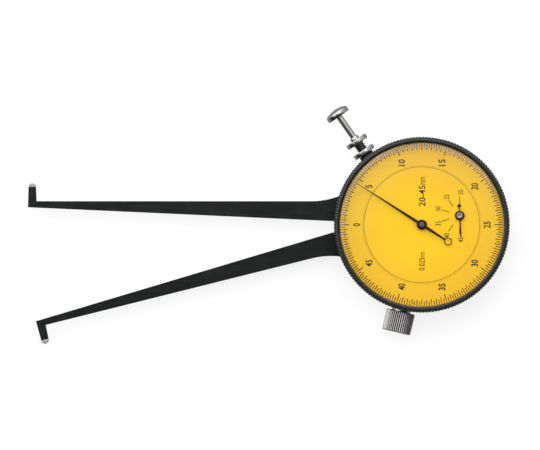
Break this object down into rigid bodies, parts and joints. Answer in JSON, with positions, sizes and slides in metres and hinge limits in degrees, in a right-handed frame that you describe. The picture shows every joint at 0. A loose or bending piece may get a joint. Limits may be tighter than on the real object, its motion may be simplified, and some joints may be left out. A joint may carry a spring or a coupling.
{
  "type": "inside dial caliper gauge",
  "caption": "Round dial gauge with two long arms and outward jaws, a push rod that draws the jaws together, a knurled turning bezel and a knurled clamp screw.",
  "frame": {"origin": "on the dial's axis, at the flat back face", "axes": "+Z out of the dial, +X away from the arms, +Y towards the push button; the arms lie along -X"},
  "size_m": [0.1359, 0.0672, 0.0151],
  "materials": {
    "black_finish": "satin",
    "chrome": "polished",
    "steel": "satin",
    "hard_metal": "ground",
    "brass": "satin",
    "yellow_dial": "satin",
    "dark_ink": "satin",
    "clear": "polished"
  },
  "bodies": {
    "case": {"case_body": "black_finish", "back_cover": "black_finish", "back_cover_screws": "steel", "fixed_arm": "black_finish", "fixed_arm_screws": "steel", "fixed_contact_tip": "hard_metal", "pivot_screw": "steel", "bridge_plate": "brass", "bridge_screws": "steel", "web_bushes": "brass", "arm_stop_pins": "steel", "spring_post": "steel", "return_spring": "steel", "hairspring": "steel", "hairspring_stud": "steel", "guide_bush": "chrome", "bush_nut": "chrome", "bush_cap": "chrome", "inner_dial": "yellow_dial", "counter_marks": "dark_ink"},
    "moving_arm": {"moving_arm": "black_finish", "moving_contact_tip": "hard_metal", "gear_sector": "brass", "sector_rivets": "steel"},
    "push_rod": {"push_rod": "chrome", "push_button": "chrome", "rod_ring": "steel"},
    "counter_arbor": {"counter_arbor": "steel", "counter_wheel": "brass", "counter_hand": "dark_ink", "counter_hub": "dark_ink"},
    "centre_arbor": {"centre_arbor": "steel", "main_hand": "dark_ink", "main_hub": "dark_ink"},
    "take_up_arbor": {"take_up_arbor": "steel", "take_up_wheel": "brass"},
    "bezel": {"bezel": "black_finish", "crystal": "clear", "outer_dial": "yellow_dial", "dial_marks": "dark_ink"},
    "clamp_screw": {"clamp_screw": "steel"}
  },
  "joints": [
    {"name": "arm_swing", "type": "hinge", "parent": "case", "child": "moving_arm", "pos_m": [-0.0135, -0.00799, 0.0051], "axis": [0, 0, 1], "range_deg": [-15.27, 0], "stiffness_Nm_per_rad": 0.15, "springref_deg": 28.65, "deforming": ["return_spring"]},
    {"name": "push_slide", "type": "slide", "parent": "case", "child": "push_rod", "axis": [-0.5769, 0.8168, 0], "range_m": [-0.00381, 0]},
    {"name": "counter_turn", "type": "hinge", "parent": "case", "child": "counter_arbor", "pos_m": [0.01069, 0.00259, 0.005], "axis": [0, 0, 1], "range_deg": [-183.25, 0]},
    {"name": "centre_turn", "type": "hinge", "parent": "case", "child": "centre_arbor", "pos_m": [0, 0, 0.0073], "axis": [0, 0, 1], "range_deg": [0, 1832.5]},
    {"name": "take_up_turn", "type": "hinge", "parent": "case", "child": "take_up_arbor", "pos_m": [-0.0012, -0.00588, 0.0073], "axis": [0, 0, 1], "range_deg": [-366.5, 0], "deforming": ["hairspring"]},
    {"name": "bezel_turn", "type": "hinge", "parent": "case", "child": "bezel", "pos_m": [0, 0, 0.0074], "axis": [0, 0, 1], "continuous": true},
    {"name": "clamp_turn", "type": "hinge", "parent": "case", "child": "clamp_screw", "pos_m": [0, 0, 0.0046], "axis": [-0.2334, -0.9724, 0], "range_deg": [-180, 0]}
  ],
  "couplings": [
    {"joint": "push_slide", "follows": "arm_swing", "m_per_rad": 0.014269},
    {"joint": "counter_turn", "follows": "arm_swing", "ratio": 12},
    {"joint": "centre_turn", "follows": "arm_swing", "ratio": -120},
    {"joint": "take_up_turn", "follows": "arm_swing", "ratio": 24}
  ]
}
